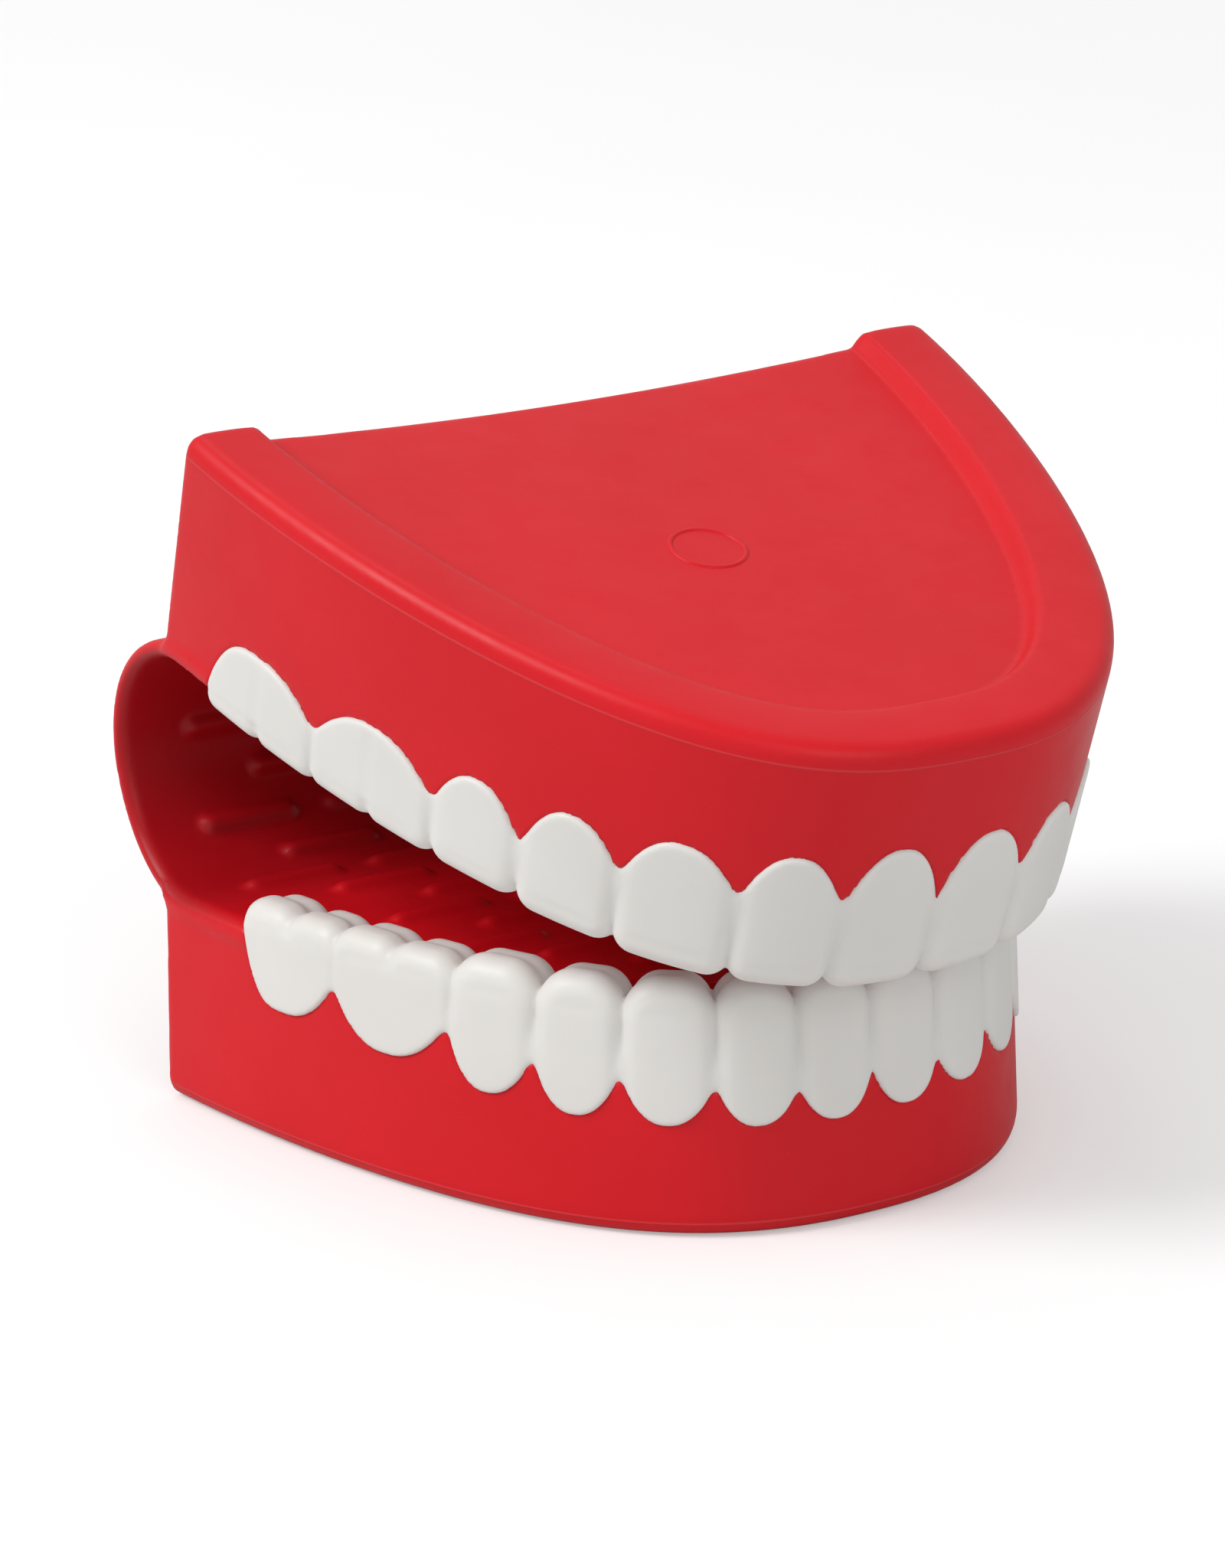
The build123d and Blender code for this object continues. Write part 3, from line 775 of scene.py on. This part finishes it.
def floor_white():
    """Matt white that looks brighter to the camera than to the other rays."""
    material, shader, coords = base_material("floor_white")
    tree = material.node_tree
    colour = ramp(tree, noise(tree, coords, scale=3.0),
                  (0.61, 0.61, 0.61, 1), (0.63, 0.63, 0.63, 1))
    camera_ray = add_node(tree, "LightPath", {}).outputs["Is Camera Ray"]
    set_inputs(tree, shader, {
        "Base Color": colour,
        "Roughness": 0.8,
        "Specular IOR Level": 0.1,
        "Emission Color": (1, 1, 1, 1),
        "Emission Strength": multiply(tree, camera_ray, 0.335)})
    return material


RED = red_silicone()
WHITE = white_silicone()


# ------------------------------------------------------------------
# white rows
# ------------------------------------------------------------------
def tooth_row(name, verts, quads, node, body):
    row = add_object(name, make_mesh(name, to_world(verts), quads), WHITE)
    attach(row, body)
    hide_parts(node)


verts, quads = surface_nets(white_low, (-51.5, -82.0, 11.0), (51.5, -8.0, 33.5), WHITE_CELL)
tooth_row("tooth_row_lower", verts, quads, "lower_teeth", "lower_jaw")
verts, quads = surface_nets(white_up, (-53.0, -90.0, -30.0), (53.0, -4.0, -8.5), WHITE_CELL)
verts[:, 1], verts[:, 2] = from_jaw(verts[:, 1], verts[:, 2])
tooth_row("tooth_row_upper", verts, quads, "upper_teeth", "upper_jaw")


# ------------------------------------------------------------------
# red pieces, cut where the roll meets the jaws
# ------------------------------------------------------------------
LOWER, ROLL, UPPER = range(3)


def cut_across_web(bm, degrees):
    """Adds an edge loop across the web at an angle of the arc."""
    a = math.radians(degrees)
    normal = Vector((0.0, -math.sin(a), math.cos(a)))
    centre = Vector((0.0, ARC_Y, ARC_Z))
    radial = Vector((0.0, math.cos(a), math.sin(a)))
    near, verts, edges = [], set(), set()
    for face in bm.faces:
        v = face.calc_center_median() - centre
        if abs(v.dot(normal)) < 2.0 * RED_CELL and 12.5 < v.dot(radial) < 19.5:
            near.append(face)
            verts.update(face.verts)
            edges.update(face.edges)
    bmesh.ops.bisect_plane(bm, geom=list(verts) + list(edges) + near, dist=1e-5,
                           plane_co=centre, plane_no=normal)


def piece_of(c):
    """Piece that a face centre belongs to."""
    y, z = c.y - ARC_Y, c.z - ARC_Z
    if 12.0 < math.hypot(y, z) < 19.9 and y > -2.0:
        if CUT_LOW < math.degrees(math.atan2(z, y)) < CUT_UP:
            return ROLL
    if c.z > ARC_Z:
        return UPPER
    if c.y > -60.0:
        yp, zp = to_palate(c.y, c.z)
        return UPPER if zp > 8.0 and yp < 0 and c.z > 30.0 else LOWER
    # at the front the upper teeth hang down almost to the lower ones
    return UPPER if c.z > 28.5 + max(0.0, (c.y + 79.0)) * 0.18 else LOWER


def split_red():
    """Coordinates of the whole red body and the faces of its three pieces."""
    mesh = make_mesh("red_all", *surface_nets(red, (-54.0, -101.0, -1.5),
                                              (54.0, 14.0, 87.0), RED_CELL))
    bm = bmesh.new()
    bm.from_mesh(mesh)
    bpy.data.meshes.remove(mesh)
    cut_across_web(bm, CUT_LOW)
    cut_across_web(bm, CUT_UP)
    groups = [[], [], []]
    for face in bm.faces:
        groups[piece_of(face.calc_center_median())].append([v.index for v in face.verts])
    coords = np.array([v.co[:] for v in bm.verts])
    bm.free()
    return coords, groups


def seam_of(points):
    """Signed height over the nearest parting line of the moulding."""
    x, y, z = points.T
    yj, zj = to_jaw(y, z)
    middle = PLATE_TOP - plate_sag(x, yj) - 0.5 * PLATE_T
    up = np.where(up_outside(x, yj, zj) > -1.3, np.clip(0.35 - zj, -3, 3),
                  np.where(zj > middle, -3.0, 3.0))
    return np.where((z > 40.0) & (zj > -10.0), up, np.clip(z - 1.7, -3, 3))


def roll_shade_of(points):
    """Weight of the painted shade: one on the mouth side of the roll, fading out along floor
    and palate.
    """
    _, y, z = points.T
    dist, _ = web_coords(y, z)
    weight = ease((y - ARC_Y + 12.0) / 16.0) * ease((0.6 - dist) / 1.2)
    return weight * ((z > 20.0) & (z < 75.0))


def red_piece(name, coords, polygons):
    """One piece as a closed mesh; its cut ends get flat, sharp-edged caps."""
    used = sorted({i for polygon in polygons for i in polygon})
    bm = bmesh.new()
    new_vert = {i: bm.verts.new(co) for i, co in zip(used, to_world(coords[used]))}
    for polygon in polygons:
        # guards against a face that the cut has made twice or collapsed
        try:
            bm.faces.new([new_vert[i] for i in polygon]).smooth = True
        except ValueError:
            pass
    open_edges = [e for e in bm.edges if len(e.link_faces) == 1]
    if open_edges:
        for face in bmesh.ops.holes_fill(bm, edges=open_edges, sides=0)["faces"]:
            face.smooth = False
            for edge in face.edges:
                edge.smooth = False
    loose = [v for v in bm.verts if not v.link_faces]
    bmesh.ops.delete(bm, geom=loose, context="VERTS")
    bmesh.ops.recalc_face_normals(bm, faces=bm.faces)
    mesh = bpy.data.meshes.new(name)
    bm.to_mesh(mesh)
    bm.free()
    flat = np.zeros(len(mesh.vertices) * 3, np.float32)
    mesh.vertices.foreach_get("co", flat)
    points = flat.reshape(-1, 3).astype(float) / MM - np.array([0.0, SHIFT_Y, SHIFT_Z])
    add_attribute(mesh, "seam", seam_of(points))
    # weight of the painted shade inside the roll
    add_attribute(mesh, "inner", roll_shade_of(points))
    return add_object(name, mesh, RED)


def on_arc(degrees):
    a = math.radians(degrees)
    return Vector((0.0, (ARC_Y + ARC_R * math.cos(a) + SHIFT_Y) * MM,
                   (ARC_Z + ARC_R * math.sin(a) + SHIFT_Z) * MM))


coords, groups = split_red()
gum_lower = red_piece("gum_lower", coords, groups[LOWER])
roll = red_piece("gum_hinge_roll", coords, groups[ROLL])
gum_upper = red_piece("gum_upper", coords, groups[UPPER])
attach(gum_lower, "lower_jaw")
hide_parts("lower_jaw_shell")
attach(gum_upper, "upper_jaw")
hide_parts("upper_jaw_shell")
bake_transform(roll)
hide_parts("hinge_roll")

# ------------------------------------------------------------------
# plain moulded ring on the top plate
# ------------------------------------------------------------------
RING_X, RING_Y = -3.3, -37.9         # jaw frame
RING_R, RING_TUBE = 4.4, 0.36
RING_FLATTEN, RING_SINK = 0.8, 0.10
RING_STEPS, TUBE_STEPS = 96, 14


def plate_ring():
    verts, quads = [], []
    for i in range(RING_STEPS):
        u = 2 * math.pi * i / RING_STEPS
        cx, cy = RING_X + RING_R * math.cos(u), RING_Y + RING_R * math.sin(u)
        middle = PLATE_TOP - plate_sag(cx, cy) - RING_SINK
        this, following = i * TUBE_STEPS, ((i + 1) % RING_STEPS) * TUBE_STEPS
        for j in range(TUBE_STEPS):
            v = 2 * math.pi * j / TUBE_STEPS
            out = RING_TUBE * math.cos(v)
            verts.append((cx + out * math.cos(u), cy + out * math.sin(u),
                          middle + RING_FLATTEN * RING_TUBE * math.sin(v)))
            k = (j + 1) % TUBE_STEPS
            quads.append((this + j, following + j, following + k, this + k))
    verts = np.array(verts)
    verts[:, 1], verts[:, 2] = from_jaw(verts[:, 1], verts[:, 2])
    mesh = make_mesh("plate_ring", to_world(verts), np.array(quads))
    add_attribute(mesh, "seam", np.full(len(verts), 3.0))      # no parting line
    ring = add_object("plate_ring", mesh, RED)
    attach(ring, "upper_jaw")


plate_ring()


# ------------------------------------------------------------------
# floor, light, camera (metres)
# ------------------------------------------------------------------
def add_floor(half=6.0, drop=0.00005):
    mesh = bpy.data.meshes.new("floor")
    mesh.from_pydata([(-half, -half, 0), (half, -half, 0), (half, half, 0), (-half, half, 0)],
                     [], [(0, 1, 2, 3)])
    floor = add_object("floor", mesh, floor_white())
    floor.location.z = -drop


def add_world(scene):
    """Soft white light; the camera itself sees plain white."""
    world = bpy.data.worlds.new("studio")
    scene.world = world
    world.use_nodes = True
    tree = world.node_tree
    light = tree.nodes["Background"]
    set_inputs(tree, light, {"Color": (1.0, 1.0, 1.0, 1), "Strength": 0.62})
    camera_ray = add_node(tree, "LightPath", {}).outputs["Is Camera Ray"]
    seen = add_node(tree, "Background", {"Color": (1, 1, 1, 1)})
    both = add_node(tree, "MixShader", {0: camera_ray, 1: light.outputs[0],
                                        2: seen.outputs[0]})
    tree.links.new(both.outputs[0], tree.nodes["World Output"].inputs[0])


def aim(ob, direction):
    ob.rotation_euler = direction.to_track_quat("-Z", "Y").to_euler()


def add_area(name, place, target, size, power):
    light = bpy.data.lights.new(name, "AREA")
    light.shape = "SQUARE"
    light.size = size
    light.energy = power
    ob = add_object(name, light)
    ob.location = place
    aim(ob, Vector(target) - Vector(place))


CAMERA_MM = (-362.28, -599.30, 259.03)     # working frame
AZIMUTH, DOWNWARD = -29.04, 16.0           # degrees, before the aim is shifted
AIM_RIGHT, AIM_DOWN = 0.05162849, 0.03722262   # shift per unit of distance


def add_camera(scene):
    data = bpy.data.cameras.new("cam")
    camera = add_object("cam", data)
    x, y, z = CAMERA_MM
    camera.location = Vector((x, y + SHIFT_Y, z + SHIFT_Z)) * MM
    a, e = math.radians(AZIMUTH), math.radians(DOWNWARD)
    forward = Vector((-math.sin(a) * math.cos(e), math.cos(a) * math.cos(e), -math.sin(e)))
    right = Vector((math.cos(a), math.sin(a), 0.0))
    aim(camera, forward + right * AIM_RIGHT - right.cross(forward) * AIM_DOWN)
    data.sensor_width = 36.0
    data.lens = 137.5171875
    data.clip_start = 0.01
    data.clip_end = 50.0
    scene.camera = camera


scene = bpy.context.scene
add_floor()
add_world(scene)
add_area("key", place=(-1.35, 0.35, 1.30), target=(0, 0, 0.04), size=0.8, power=23.5)
add_area("top", place=(0.10, 0.80, 1.70), target=(0, 0, 0.05), size=0.4, power=2.2)
add_area("fill", place=(-0.25, -1.90, 1.05), target=(0, 0, 0.05), size=1.3, power=8.6)
add_camera(scene)
scene.view_settings.view_transform = "Standard"
scene.view_settings.look = "None"
